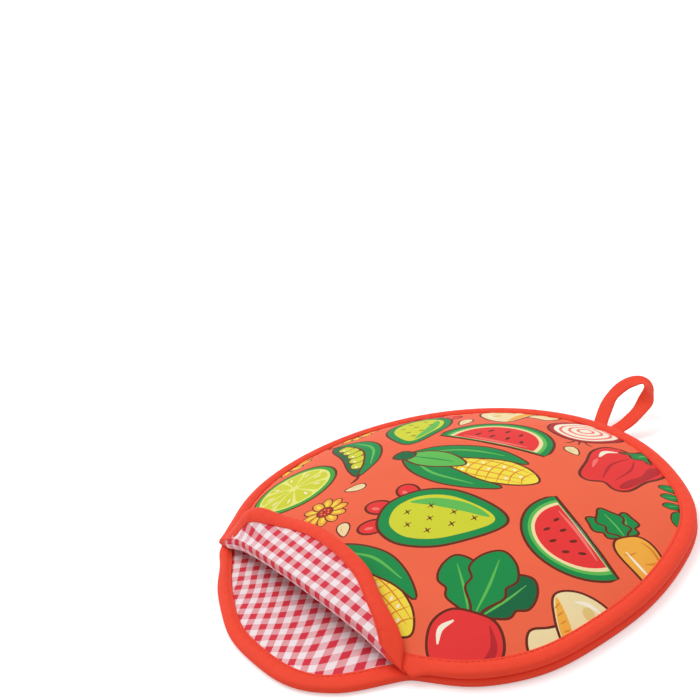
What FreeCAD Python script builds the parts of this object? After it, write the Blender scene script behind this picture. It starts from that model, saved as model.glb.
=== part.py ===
"""Round fabric tortilla warmer: two bound, padded plies sewn together into a pouch.

Millimetres. The origin is the centre of the disc on its underside, +Z is up, the mouth opens
towards -Y and the hanging loop stands at +Y. The mouth's upper lip is folded back on the pouch.
"""
import FreeCAD
import Part
import math
import os

from collections import namedtuple
from FreeCAD import Vector

# The disc and its layers
DISC_DIAMETER = 304.8        # 12 inches across the bound edge
BINDING_WIDTH = 9.5          # binding that shows on each face
TAPE = 0.6                   # folded binding tape, on each face and round the edge
SKIN = 0.8                   # printed cover, and checked lining
BATTING = 3.4                # insulating fill

# The pouch: a flat base and a top that swells over what it holds
DOME_RISE = 27.0             # lining of the top above its rim, at the middle
SEAM_GAP = 0.05              # between the two bindings where they are sewn together
MOUTH_DEPTH = 42.4           # from the disc's edge in to the fold of the upper lip
CORNER_PINCH = 8.4           # how far the mouth's corners are drawn in from the circle
SHOULDER_ANGLE = 14.0        # degrees in front of the X axis where the sides start to draw in
LIP_OUT = 2.6                # how far the lower lip stands out of the circle
FLAP_DEPTH = 38.5            # upper lip beyond its fold, seen from above before it is folded
FOLD_GAP = 0.4               # between the folded lip and the pouch, and along the fold

# The hanging loop of folded tape
LOOP_TAPE_WIDTH = 11.0
LOOP_TAPE = 1.2
LOOP_LENGTH = 45.0           # from its root to its far end
LOOP_SWELL = 14.0            # how far the legs bow away from each other
LOOP_LEG_GAP = 1.5           # between the two legs where they enter the seam
LOOP_TILT = 15.0             # degrees above the table
LOOP_TAIL = 11.0             # tape sewn in between the bindings
LOOP_CLEARANCE = 0.3         # between the swinging loop and the disc's edge
LOOP_STATIONS = 18           # stretches that the twist is made in

# Worked out from the above
RADIUS = DISC_DIAMETER / 2
PLY = BATTING + 2 * SKIN
FOLD_REACH = RADIUS - MOUTH_DEPTH
SPHERE = (RADIUS ** 2 + DOME_RISE ** 2) / (2 * DOME_RISE)
CENTRE = Vector(0, 0, PLY + SEAM_GAP + DOME_RISE - SPHERE)
FOLD_RADIUS = SPHERE + PLY + FOLD_GAP / 2
FOLD_LEAN = math.asin(FOLD_REACH / FOLD_RADIUS)
FOLD_AXIS = CENTRE + Vector(0, -math.sin(FOLD_LEAN), math.cos(FOLD_LEAN)) * FOLD_RADIUS
CORNER_Y = -(PLY - CENTRE.z) * math.tan(FOLD_LEAN)
CORNER_X = math.sqrt((RADIUS - CORNER_PINCH) ** 2 - CORNER_Y ** 2)
LOOP_ROOT = Vector(0, RADIUS + LOOP_CLEARANCE + LOOP_TAPE / 2, PLY + LOOP_TAPE / 2)
BLOCK = 4 * RADIUS           # side of the cutting blocks, larger than everything

Zones = namedtuple("Zones", "whole in_tape in_binding")


def on_circle(degrees):
    """A point of the disc's edge, counted from +X towards +Y."""
    angle = math.radians(degrees)
    return Vector(RADIUS * math.cos(angle), RADIUS * math.sin(angle), 0)


def tangent_arc(start, end):
    """Arc that leaves the disc's circle at start without a kink and ends at end."""
    outward = Vector(start).normalize()
    chord = start - end
    radius = chord.Length ** 2 / (2 * outward.dot(chord))
    middle = start - outward * radius
    halfway = ((start - middle) + (end - middle)).normalize() * radius
    return Part.Arc(start, middle + halfway, end).toShape()


def outline(lip_reach):
    """Edge of a ply: the circle, the drawn-in sides and a lip that reaches lip_reach from the centre."""
    right = on_circle(-SHOULDER_ANGLE)
    left = on_circle(180 + SHOULDER_ANGLE)
    right_corner = Vector(CORNER_X, CORNER_Y, 0)
    left_corner = Vector(-CORNER_X, CORNER_Y, 0)
    back = Part.Arc(right, on_circle(90), left).toShape()
    lip = Part.Arc(left_corner, Vector(0, -lip_reach, 0), right_corner).toShape()
    return Part.Wire([back, tangent_arc(left, left_corner), lip, tangent_arc(right, right_corner)])


def zones(lip_reach, keep=None):
    """Upright blocks inside the outline: whole, inside the tape's fold and inside the binding."""
    edge = outline(lip_reach)
    blocks = []
    for inset in (0, TAPE, BINDING_WIDTH):
        wire = edge.makeOffset2D(-inset) if inset else edge
        block = Part.Face(wire).extrude(Vector(0, 0, BLOCK))
        block.translate(Vector(0, 0, -BLOCK / 2))
        blocks.append(block.common(keep) if keep else block)
    return Zones(*blocks)


def flat_band(low, high):
    """Layer of the base between two heights above its underside."""
    return Part.makeBox(BLOCK, BLOCK, high - low, Vector(-BLOCK / 2, -BLOCK / 2, low))


def ball(height):
    """Ball round the dome's centre whose surface lies height above the dome's lining."""
    poles = 2 * math.degrees(math.asin(RADIUS / SPHERE))
    return Part.makeSphere(SPHERE + height, CENTRE, Vector(1, 0, 0), -poles, poles, 360)


def dome_band(low, high):
    """Layer of the top between two heights above its lining."""
    return ball(high).cut(ball(low))


def folded_band(low, high):
    """Layer of the folded lip, which lies on the dome one ply and a gap further out."""
    lift = PLY + FOLD_GAP
    return dome_band(low + lift, high + lift)


def fold_side(side):
    """Block on one side of the fold's plane: 1 keeps the pouch and -1 the lip in front of it."""
    start = FOLD_GAP / 2 if side > 0 else -FOLD_GAP / 2 - BLOCK
    block = Part.makeBox(BLOCK, BLOCK, 2 * BLOCK, Vector(-BLOCK / 2, start, -BLOCK / 2))
    block.rotate(Vector(0, 0, 0), Vector(1, 0, 0), math.degrees(FOLD_LEAN))
    block.translate(CENTRE)
    return block


def layer(band, zone, low, high, pressed_low, pressed_high):
    """Layer of a ply, which steps in to its pressed heights where the binding grips it."""
    main = band(low, high).common(zone.in_binding)
    grip = band(pressed_low, pressed_high).common(zone.in_tape.cut(zone.in_binding))
    return main.fuse(grip).removeSplitter()


def binding(band, zone):
    """Tape folded over the edge: a channel that the ply's pressed edge fills."""
    channel = band(0, PLY).common(zone.whole.cut(zone.in_binding))
    return channel.cut(band(TAPE, PLY - TAPE).common(zone.in_tape))


def ply(prefix, band, zone, lower, upper):
    """All the pieces of one ply; lower and upper name its two skins."""
    return {
        prefix + lower: layer(band, zone, 0, SKIN, TAPE, TAPE + SKIN),
        prefix + "batting": layer(band, zone, SKIN, PLY - SKIN, TAPE + SKIN, PLY - TAPE - SKIN),
        prefix + upper: layer(band, zone, PLY - SKIN, PLY, PLY - TAPE - SKIN, PLY - TAPE),
        prefix + "binding": binding(band, zone),
    }


def folded_lip():
    """Upper lip: cut in front of the fold as the dome runs on there, then turned back over it."""
    zone = zones(FOLD_REACH + FLAP_DEPTH, fold_side(-1))
    fold_normal = Vector(0, math.cos(FOLD_LEAN), math.sin(FOLD_LEAN))
    pieces = ply("flap_", folded_band, zone, "cover", "lining")
    return {name: shape.mirror(CENTRE, fold_normal) for name, shape in pieces.items()}


def loop_centre_line(angle):
    """Middle of the loop's tape, flat: 0 is the left leg's root and pi the right one's."""
    bow = (LOOP_LEG_GAP + LOOP_TAPE_WIDTH) / 2 + LOOP_SWELL * math.sin(angle)
    return Vector(-bow * math.cos(angle), (LOOP_LENGTH - LOOP_TAPE) * math.sin(angle), 0)


def loop_section(station):
    """Outline of the tape at one station, turned on edge towards the loop's far end."""
    angle = math.pi * station / LOOP_STATIONS
    small = math.pi / 1000
    along = (loop_centre_line(angle + small) - loop_centre_line(angle - small)).normalize()
    if station in (0, LOOP_STATIONS):
        along = Vector(0, math.cos(angle), 0)
    twist = math.pi / 2 * math.sin(angle) ** 3
    across = Vector(along.y, -along.x, 0)
    wide = across * math.cos(twist) + Vector(0, 0, math.sin(twist))
    thin = along.cross(wide) * (LOOP_TAPE / 2)
    wide = wide * (LOOP_TAPE_WIDTH / 2)
    middle = loop_centre_line(angle)
    corners = [middle + wide + thin, middle - wide + thin, middle - wide - thin, middle + wide - thin]
    return Part.makePolygon(corners + corners[:1])


def hanging_loop():
    """Loop of tape, flat where it leaves the seam and on edge at its far end."""
    sections = [loop_section(station) for station in range(LOOP_STATIONS + 1)]
    loop = Part.makeLoft(sections, True, True)
    loop.rotate(Vector(0, 0, 0), Vector(1, 0, 0), LOOP_TILT)
    loop.translate(LOOP_ROOT)
    return loop


def loop_tails(clearance=0.0):
    """The loop's two ends, which lie between the bindings; clearance widens them for the recess."""
    tails = []
    for side in (-1, 1):
        middle = side * (LOOP_LEG_GAP + LOOP_TAPE_WIDTH) / 2
        width = LOOP_TAPE_WIDTH + 2 * clearance
        corner = Vector(middle - width / 2, RADIUS - LOOP_TAIL, PLY)
        tails.append(Part.makeBox(width, LOOP_TAIL, LOOP_TAPE + clearance, corner))
    return Part.makeCompound(tails)


def build():
    """Every piece, by name."""
    pieces = ply("base_", flat_band, zones(RADIUS + LIP_OUT), "cover", "lining")
    top = ply("top_", dome_band, zones(RADIUS, fold_side(1)), "lining", "cover")
    recess = loop_tails(SEAM_GAP)
    pieces.update({name: shape.cut(recess) for name, shape in top.items()})
    pieces.update(folded_lip())
    pieces["hanging_loop"] = hanging_loop()
    pieces["loop_tails"] = loop_tails()
    return pieces


def export(pieces):
    os.makedirs("parts", exist_ok=True)
    for name, shape in pieces.items():
        shape.exportStep(f"parts/{name}.step")
        print(f"{name:14s} {len(shape.Solids)} solids {shape.Volume / 1000:9.2f} cm3 valid {shape.isValid()}")
    print(f"fold axis y {FOLD_AXIS.y:.3f} z {FOLD_AXIS.z:.3f}, loop root y {LOOP_ROOT.y:.3f} z {LOOP_ROOT.z:.3f}")
    print(f"mouth corners x {CORNER_X:.2f} y {CORNER_Y:.2f}")


export(build())
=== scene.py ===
"""Looks of a round fabric tortilla warmer: bound, padded and printed plies, sewn into a pouch.

Lengths in the code are millimetres of the sewing plan, and meshes are written in metres.
The plan is the ply laid flat: x to the right, y towards the hanging loop, h up through the ply.
"""

import bpy
import math

import numpy as np
from bpy.props import FloatProperty, FloatVectorProperty, PointerProperty
from mathutils import Matrix, Vector
from mathutils.geometry import delaunay_2d_cdt


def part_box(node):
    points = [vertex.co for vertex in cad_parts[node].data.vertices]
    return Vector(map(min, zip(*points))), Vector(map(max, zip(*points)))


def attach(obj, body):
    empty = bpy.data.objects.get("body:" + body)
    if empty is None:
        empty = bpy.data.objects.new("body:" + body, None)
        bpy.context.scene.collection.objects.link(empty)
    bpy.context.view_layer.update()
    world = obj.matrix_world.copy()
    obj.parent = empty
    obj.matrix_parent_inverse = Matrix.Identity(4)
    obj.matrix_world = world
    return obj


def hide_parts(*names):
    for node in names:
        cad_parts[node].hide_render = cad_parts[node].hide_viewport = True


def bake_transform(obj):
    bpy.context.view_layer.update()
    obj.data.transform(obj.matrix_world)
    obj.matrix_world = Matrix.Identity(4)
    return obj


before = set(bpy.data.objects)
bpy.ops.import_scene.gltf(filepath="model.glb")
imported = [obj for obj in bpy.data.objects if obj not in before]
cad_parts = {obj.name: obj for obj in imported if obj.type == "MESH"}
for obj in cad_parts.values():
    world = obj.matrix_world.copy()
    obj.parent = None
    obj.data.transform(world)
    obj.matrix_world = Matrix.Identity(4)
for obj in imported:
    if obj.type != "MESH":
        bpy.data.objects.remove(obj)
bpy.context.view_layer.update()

bl_info = {
    "name": "Tortilla Warmer Looks",
    "version": (1, 0, 0),
    "blender": (4, 5, 0),
    "location": "3D View > Sidebar > Warmer",
    "description": "Sews the cloth, tape, thread and print of a round tortilla warmer round its packed plies",
    "category": "Add Mesh",
}

MM = 0.001


def span(node, axis):
    """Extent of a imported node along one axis, in metres."""
    low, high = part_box(node)
    return high[axis] - low[axis]


# ---------------------------------------------------------------- sizes and colours

def length(label, text, value):
    return FloatProperty(name=label, description=text, default=value, min=0.0, unit="LENGTH", precision=4)


def dye(label, text, value):
    """A colour as it is seen on a screen, from 0 to 255 each."""
    return FloatVectorProperty(name=label, description=text, size=3, min=0.0, max=1.0, subtype="COLOR_GAMMA",
                               default=[v / 255 for v in value])


class WarmerSizes(bpy.types.PropertyGroup):
    disc_diameter: length("Disc diameter", "Across the bound edge", round(span("top_binding", 0), 4))
    ply: length("Ply", "Cover, batting and lining together", round(span("base_binding", 2), 4))
    binding: length("Binding", "Width of the tape that shows on each face", 0.0095)
    dome_rise: length("Dome rise", "Lining of the top above its rim, at the middle", 0.027)
    mouth_depth: length("Mouth depth", "From the disc's edge in to the fold of the upper lip", 0.0424)
    corner_pinch: length("Corner pinch", "How far the mouth's corners are drawn in", 0.0084)
    lip_out: length("Lip out", "How far the lower lip stands out of the disc", 0.0026)
    flap_depth: length("Flap depth", "Upper lip beyond its fold, before it is folded", 0.0385)
    check: length("Check", "Side of one square of the gingham", 0.0048)
    yarn: length("Yarn pitch", "Distance between the yarns of the printed cloth", 0.0005)
    stitch: length("Stitch", "Length of one stitch with its gap", 0.0032)
    thread: length("Thread", "Thickness of the sewing thread", 0.00045)
    loop_width: length("Loop width", "Width of the loop's folded tape", 0.011)


class WarmerColours(bpy.types.PropertyGroup):
    ground: dye("Ground", "Ground of the print", (247, 106, 72))
    outline: dye("Outline", "Ink of the outlines", (104, 40, 22))
    binding: dye("Binding", "Binding tape and loop", (250, 74, 48))
    white: dye("White yarn", "Undyed yarn of the gingham", (255, 240, 243))
    red: dye("Red yarn", "Dyed yarn of the gingham", (226, 56, 74))
    thread: dye("Thread", "Sewing thread", (226, 58, 38))


def sizes():
    return bpy.context.scene.warmer_sizes


def colours():
    return bpy.context.scene.warmer_colours


def linear(colour):
    """Screen colour to the linear values that shaders use."""
    return [c / 12.92 if c <= 0.04045 else ((c + 0.055) / 1.055) ** 2.4 for c in colour] + [1.0]


def ease(t):
    """Smooth step from 0 to 1."""
    t = np.clip(t, 0, 1)
    return t * t * (3 - 2 * t)


def bump(x, middle, width):
    """Smooth hill of height 1."""
    return np.exp(-((x - middle) / width) ** 2)


def hills(x, rows):
    """Sum of smooth hills, each given by its height, middle and width."""
    return sum(height * bump(x, middle, width) for height, middle, width in rows)


# ---------------------------------------------------------------- the plan and how it is sewn

class Form:
    """Turns places of the flat plan into points of the sewn pouch, all in millimetres."""

    FOLD_GAP = 0.4       # between the folded lip and the pouch
    SEAM = 0.05          # between the bindings of the two plies
    SHOULDER = math.radians(14)    # in front of the x axis, where the sides start to draw in
    FOLD_ROUND = 0.5     # how round the fold is, 1 for a half circle
    FOLD_GIRTH = 2.42    # cloth round the fold, for each millimetre of its reach
    RIM_PRESS = 3.1      # how far the top is pressed down inside its binding
    MOUTH_Y = -104.0     # in front of this line the plies are no longer sewn together

    # How the real cloth lies: hills of a shift, each with its height, middle and width
    BASE_LIP_PULL = (8.5, 60, 36), (-2.5, -42, 26)                         # forward, along x
    DISC_OUT = (6.2, -23, 14.5), (1.9, -35, 7), (1.6, 6, 18), (4.3, 38, 15)      # outward, by degrees of turn
    LIP_SHORTER = (4.5, 14, 44), (-8.0, -78, 19), (2.8, 58, 15), (-3.6, 89, 11)  # towards the fold, along x
    LIP_STANDS = (10.5, -78, 23),                                          # up, along x

    def __init__(self):
        s = sizes()
        self.radius = s.disc_diameter * 500
        self.ply = s.ply * 1000
        self.tape = s.binding * 1000
        rise = s.dome_rise * 1000
        self.sphere = (self.radius ** 2 + rise ** 2) / (2 * rise)
        self.centre = np.array([0, 0, self.ply + self.SEAM + rise - self.sphere])
        self.lift = self.ply + self.FOLD_GAP
        self.crease = self.sphere + self.ply + self.FOLD_GAP / 2
        self.girth = self.FOLD_GIRTH * (self.crease - self.sphere)
        reach = self.radius - s.mouth_depth * 1000
        self.lean = math.asin(reach / self.crease)
        self.normal = np.array([0, math.cos(self.lean), math.sin(self.lean)])
        self.up = np.array([0, -math.sin(self.lean), math.cos(self.lean)])
        self.axis = self.centre + self.up * self.crease
        corner_y = -(self.ply - self.centre[2]) * math.tan(self.lean)
        pinched = self.radius - s.corner_pinch * 1000
        self.corner = np.array([math.sqrt(pinched ** 2 - corner_y ** 2), corner_y])
        self.base_edge = Edge(self, self.radius + s.lip_out * 1000)
        self.lip_reach = reach + s.flap_depth * 1000
        self.lip_edge = Edge(self, self.lip_reach)

    def base(self, x, y, h):
        """Lower ply, flat on the table; its lip has been pulled a little to the right."""
        front = ease((self.MOUTH_Y - y) / 26)
        pull = 1.8 * ease((x + 70) / 70) + hills(x, self.BASE_LIP_PULL)
        x, y = self.spread(x + 2.5 * front, y - front * pull)
        return np.stack([x, y, h + 0 * x], -1)

    def spread(self, x, y):
        """Shifts both plies as they lie: wider on the right, and less drawn in at the mouth's left corner."""
        near = bump(np.hypot(x + self.corner[0], y - self.corner[1]), 0, 17)
        reach = np.hypot(x, y)
        wider = hills(np.degrees(np.arctan2(y, x)), self.DISC_OUT)
        wider = wider * ease((reach - 50) / 100) / np.maximum(reach, 1)
        return x + wider * x - 3.0 * near, y + wider * y - 5.0 * near

    def shell(self, x, y, h):
        """Sphere of the top ply at height h above its lining."""
        return np.stack([x, y, self.centre[2] + np.sqrt((self.sphere + h) ** 2 - x ** 2 - y ** 2)], -1)

    def dome(self, x, y, h):
        return self.settle(self.shell(x, y, h))

    def lip(self, x, y, h):
        """Upper lip, turned back over the dome along the fold; its left end stands up a little."""
        fold = self.fold_y(x, h + self.lift)
        y = np.minimum(y, fold)
        share = np.clip((fold - y) / np.maximum(fold - self.lip_front(x), 5), 0, 1)
        up = 2.0 * ease(share) + ease((fold - y) / 14) * hills(x, self.LIP_STANDS)
        p = self.shell(x, y + share * hills(x, self.LIP_SHORTER), h + self.lift + up)
        away = (p - self.centre) @ self.normal
        return self.settle(p - 2 * away[..., None] * self.normal)

    def lip_front(self, x):
        """Plan line of the lip's free edge."""
        bulge = self.lip_reach + self.corner[1]
        radius = (self.corner[0] ** 2 + bulge ** 2) / (2 * bulge)
        return radius - self.lip_reach - np.sqrt(np.maximum(radius ** 2 - x ** 2, 0))

    def roll(self, x, turn, swell):
        """Cloth that goes round the fold: turn runs from 0 at the dome to 1 at the lip."""
        ring = np.stack([x, 0 * x, 0 * x], -1) + np.sqrt(self.crease ** 2 - x ** 2)[..., None] * self.up
        angle = (turn - 0.5) * math.pi
        bulge = self.FOLD_ROUND * (1 - 0.7 * ease((np.abs(x) - 80) / 16)) * np.cos(angle)
        off = -bulge[..., None] * self.normal + np.sin(angle)[..., None] * (ring / self.crease)
        return self.centre + ring + off * (self.crease - self.sphere + swell)[..., None]

    def settle(self, p):
        """Draws the top's sides down to the base and thins the stack at the mouth's corners."""
        x, y, z = p[..., 0], p[..., 1], p[..., 2]
        low = self.centre[2] + np.sqrt(self.sphere ** 2 - x ** 2 - y ** 2)
        depth, rim = self.base_edge.depth(x, y)
        behind = y - self.MOUTH_Y
        near = np.hypot(np.abs(x) - self.corner[0], y - self.corner[1])
        front = ease(behind / -12)
        at_corner = self.rim_gap(np.hypot(*self.corner)) * front * (1 - ease((near - 4) / 40))
        gap = np.where(behind < 0, at_corner + self.rim_gap(rim) * (1 - front), self.rim_gap(rim))
        drop = np.clip(gap, 0, None) * (1 - ease(depth / 50))
        rise = low - self.centre[2] - np.sqrt(self.sphere ** 2 - rim ** 2)
        flat = np.where(depth < self.tape, rise, self.RIM_PRESS * np.exp((self.tape - depth) / 25))
        drop = drop + np.clip(np.minimum(flat, rise), 0, None) * ease(behind / 20)
        squeeze = 1 - 0.5 * np.exp(-(near / 17) ** 2)
        height = low - drop + (z - low) * squeeze
        x, y = self.spread(x, y)
        y = y + 0.8 * np.clip(-109.5 - y, 0, None) * ease((-x - 86) / 9)
        return np.stack([x, y, height], -1)

    def rim_gap(self, rim):
        """Height of the sphere above the base at a distance from the middle."""
        return self.centre[2] + np.sqrt(self.sphere ** 2 - rim ** 2) - self.ply - self.SEAM

    def fold_y(self, x, h):
        """Plan line of the fold at height h above the dome's lining."""
        return -np.sqrt((self.sphere + h) ** 2 - x ** 2) * math.sin(self.lean)


class Edge:
    """Outline of a ply with a lip that reaches a given distance in front of the centre."""

    STEP = 0.5
    ARC_STEP = 0.4
    SOFTEN = 2.5

    def __init__(self, form, reach):
        right, left = -form.SHOULDER, math.pi + form.SHOULDER
        corner = form.corner
        back = self.arc((0, 0), form.radius, right, left)
        side = self.tangent_arc(form.radius * np.array([math.cos(left), math.sin(left)]), corner * (-1, 1))
        bulge = reach + corner[1]
        lip_radius = (corner[0] ** 2 + bulge ** 2) / (2 * bulge)
        sweep = math.asin(corner[0] / lip_radius)
        lip = self.arc((0, lip_radius - reach), lip_radius, -math.pi / 2 - sweep, -math.pi / 2 + sweep)
        points = np.concatenate([back[:-1], side[:-1], lip[:-1], (side * (-1, 1))[::-1][:-1]])
        points = self.even(points, 2 * int(self.total(points) / self.STEP / 2))
        points = self.blur(points, self.SOFTEN / self.STEP)
        self.points = points
        self.length = self.total(points)
        ahead = np.roll(points, -1, 0) - np.roll(points, 1, 0)
        self.tangent = ahead / np.hypot(*ahead.T)[:, None]
        self.inward = np.stack([-self.tangent[:, 1], self.tangent[:, 0]], -1)
        angle = np.arctan2(points[:, 1], points[:, 0])
        order = np.argsort(angle)
        self.angles, self.radii = angle[order], np.hypot(*points.T)[order]
        self.right, self.left = (int(np.argmin(np.hypot(*(points - corner * (way, 1)).T))) for way in (1, -1))

    def arc(self, middle, radius, start, end):
        a = np.linspace(start, end, 1 + int(abs(end - start) * radius / self.ARC_STEP))
        return np.stack([middle[0] + radius * np.cos(a), middle[1] + radius * np.sin(a)], -1)

    def tangent_arc(self, start, end):
        """Arc that leaves the circle at start without a kink and ends at end."""
        outward = start / np.hypot(*start)
        chord = start - end
        radius = chord @ chord / (2 * outward @ chord)
        middle = start - outward * radius
        first, last = (math.atan2(*(point - middle)[::-1]) for point in (start, end))
        return self.arc(middle, radius, first, last + (2 * math.pi if last < first - math.pi else 0))

    @staticmethod
    def total(points):
        return float(np.hypot(*(np.roll(points, -1, 0) - points).T).sum())

    @staticmethod
    def even(points, count):
        closed = np.concatenate([points, points[:1]])
        run = run_along(closed)
        wanted = np.linspace(0, run[-1], count, endpoint=False)
        return np.stack([np.interp(wanted, run, closed[:, k]) for k in (0, 1)], -1)

    @staticmethod
    def blur(points, width):
        reach = int(4 * width)
        weight = np.exp(-0.5 * (np.arange(-reach, reach + 1) / width) ** 2)
        weight /= weight.sum()
        return sum(w * np.roll(points, k, 0) for w, k in zip(weight, range(-reach, reach + 1)))

    def depth(self, x, y):
        """How far inside the edge a place is, measured towards the centre, and the edge's reach there."""
        rim = np.interp(np.arctan2(y, x), self.angles, self.radii, period=2 * math.pi)
        return rim - np.hypot(x, y), rim

    def inset(self, by):
        return self.points + self.inward * by

    def stretch(self, first, last):
        """Indices along the edge from one point to another, in the direction of the sweep."""
        last = last if last > first else last + len(self.points)
        return np.arange(first, last + 1) % len(self.points)


def run_along(points):
    """Distance run at each point of a flat line."""
    return np.concatenate([[0], np.cumsum(np.hypot(*np.diff(points, axis=0).T))])


def ripple(along, seed, pitch):
    """Irregular wave between -1 and 1 for puckers, the same on every run."""
    k = 2 * math.pi / pitch
    return (np.sin(along * k + seed) + 0.6 * np.sin(along * k * 0.57 + 2.1 * seed)
            + 0.4 * np.sin(along * k * 1.83 + 0.7 * seed)) / 2


def billow(x, y, seed, pitch):
    """Slow uneven swell over a surface, between -1 and 1."""
    k = 2 * math.pi / pitch
    return (np.sin(x * k + seed) * np.cos(y * k * 0.83 + seed * 1.7)
            + 0.6 * np.sin((x * 0.6 + y) * k * 1.37 + seed * 0.6)
            + 0.4 * np.cos((x - y * 0.7) * k * 2.1 + seed * 2.3)) / 2


# ---------------------------------------------------------------- meshes

def add_mesh(name, verts, faces, material, plan, inks=None, normals=None):
    """Smooth mesh from millimetre points; plan gives each point's place on the cloth for its weave."""
    mesh = bpy.data.meshes.new(name)
    mesh.from_pydata((verts * MM).tolist(), [], faces.tolist())
    mesh.polygons.foreach_set("use_smooth", np.ones(len(mesh.polygons), bool))
    corners, sides = np.zeros(len(mesh.loops), np.int32), np.zeros(len(mesh.polygons), np.int32)
    mesh.loops.foreach_get("vertex_index", corners)
    mesh.uv_layers.new(name="Plan").data.foreach_set("uv", (plan * MM)[corners].astype(np.float32).ravel())
    if inks is not None:
        layer = mesh.color_attributes.new(name="Print", type="BYTE_COLOR", domain="CORNER")
        mesh.polygons.foreach_get("loop_total", sides)
        shades = np.concatenate([inks, np.ones((len(inks), 1))], 1)
        layer.data.foreach_set("color_srgb", np.repeat(shades, sides, 0).astype(np.float32).ravel())
    mesh.materials.append(material)
    piece = bpy.data.objects.new(name, mesh)
    bpy.context.scene.collection.objects.link(piece)
    mesh.update()
    if normals is not None:
        mesh.normals_split_custom_set_from_vertices(normals.tolist())
    return piece


def grid_faces(rows, columns, wrap=False):
    """Quads between rows x columns of points; wrap closes each row on itself."""
    last = columns if wrap else columns - 1
    r, c = np.meshgrid(np.arange(rows - 1), np.arange(last), indexing="ij")
    a, b = r * columns + c, r * columns + (c + 1) % columns
    return np.stack([a, b, b + columns, a + columns], -1).reshape(-1, 4)


def vertex_normals(verts, faces):
    """Area-weighted normals, so that a sheet which is cut up still shades as one."""
    out = np.zeros_like(verts)
    a, b, c, last = (verts[faces[:, k]] for k in (0, 1, 2, -1))
    cross = np.cross(c - a, last - b)
    for k in range(faces.shape[1]):
        np.add.at(out, faces[:, k], cross)
    return out / np.maximum(np.linalg.norm(out, axis=1), 1e-12)[:, None]


def used_points(faces):
    """The points that some faces use, and the faces counted in those."""
    used, index = np.unique(faces, return_inverse=True)
    return used, index.reshape(faces.shape)


def inside(polygon, points):
    """Even-odd test of many points against one closed outline."""
    a, b = polygon, np.roll(polygon, -1, 0)
    x, y = points[:, 0][:, None], points[:, 1][:, None]
    crosses = (a[:, 1] > y) != (b[:, 1] > y)
    with np.errstate(divide="ignore", invalid="ignore"):
        at = (b[:, 0] - a[:, 0]) * (y - a[:, 1]) / (b[:, 1] - a[:, 1]) + a[:, 0]
    return (crosses & (x < at)).sum(1) % 2 == 1


def panel(border, pitch, shapes=()):
    """Flat panel of cloth, cut into triangles that follow its border and every printed outline."""
    loops = [border] + [polygon for _, polygon in shapes]
    points = np.concatenate(loops)
    links, start = [], 0
    for loop in loops:
        n = len(loop)
        links += [(start + k, start + (k + 1) % n) for k in range(n)]
        start += n
    low, high = border.min(0), border.max(0)
    gx, gy = np.meshgrid(np.arange(low[0], high[0], pitch), np.arange(low[1], high[1], pitch))
    gx = gx + (np.arange(gx.shape[0]) % 2)[:, None] * pitch / 2
    fill = np.stack([gx.ravel(), gy.ravel()], -1)
    cell = pitch * 0.6
    taken = {(i, j) for i, j in np.round(points / cell).astype(int).tolist()}
    fill = fill[np.array([(i, j) not in taken for i, j in np.round(fill / cell).astype(int).tolist()])]
    flat = np.concatenate([points, fill[inside(border, fill)]])
    made = delaunay_2d_cdt([Vector(p) for p in flat.tolist()], links, [], 0, 1e-4)
    verts = np.array([tuple(v) for v in made[0]])
    faces = np.array(made[2])
    middles = verts[faces].mean(1)
    keep = inside(border, middles)
    faces, middles = faces[keep], middles[keep]
    a, b, c = (verts[faces[:, k]] for k in range(3))
    turn = (b[:, 0] - a[:, 0]) * (c[:, 1] - a[:, 1]) - (b[:, 1] - a[:, 1]) * (c[:, 0] - a[:, 0])
    faces[turn < 0] = faces[turn < 0][:, ::-1]
    used, faces = used_points(faces)
    return verts[used], faces, middles


# ---------------------------------------------------------------- the print

INKS = {
    "leaf": (22, 142, 72), "leaf_dark": (18, 104, 62), "leaf_light": (98, 190, 84),
    "lime": (214, 216, 52), "lime_pale": (236, 236, 128), "rind": (60, 168, 54),
    "cream": (248, 226, 172), "cream_dark": (234, 204, 128), "white": (255, 246, 224),
    "gold": (250, 178, 68), "gold_dark": (226, 134, 44), "lemon": (250, 228, 72),
    "red": (238, 56, 56), "red_dark": (190, 40, 46), "pink": (250, 120, 112),
}


def blob(*points, steps=6):
    """Closed smooth outline through control points."""
    p = np.array(points, float)
    before, after, beyond = np.roll(p, 1, 0), np.roll(p, -1, 0), np.roll(p, -2, 0)
    t = np.arange(steps)[None, :, None] / steps
    p, before, after, beyond = (v[:, None, :] for v in (p, before, after, beyond))
    out = 0.5 * (2 * p + (after - before) * t + (2 * before - 5 * p + 4 * after - beyond) * t ** 2
                 + (3 * p - before - 3 * after + beyond) * t ** 3)
    return out.reshape(-1, 2)


def twin_blob(*points, steps=6):
    """Smooth outline through control points of its right half, from the bottom up, and their mirror image."""
    return blob(*points, *((-x, y) for x, y in points[::-1] if x), steps=steps)


def place(polygon, x=0.0, y=0.0, turn=0.0, scale=1.0):
    c, s = math.cos(math.radians(turn)), math.sin(math.radians(turn))
    return polygon @ np.array([[c, s], [-s, c]]) * scale + (x, y)


def oval(x, y, rx, ry, turn=0.0, count=20):
    a = np.linspace(0, 2 * math.pi, count, endpoint=False)
    return place(np.stack([rx * np.cos(a), ry * np.sin(a)], -1), x, y, turn)


def grow(polygon, by):
    """Outline moved outwards."""
    ahead = np.roll(polygon, -1, 0) - np.roll(polygon, 1, 0)
    ahead = ahead / np.maximum(np.hypot(*ahead.T), 1e-9)[:, None]
    area = (polygon[:, 0] * np.roll(polygon[:, 1], -1) - np.roll(polygon[:, 0], -1) * polygon[:, 1]).sum()
    side = 1 if area > 0 else -1
    return polygon + np.stack([ahead[:, 1], -ahead[:, 0]], -1) * by * side


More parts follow.
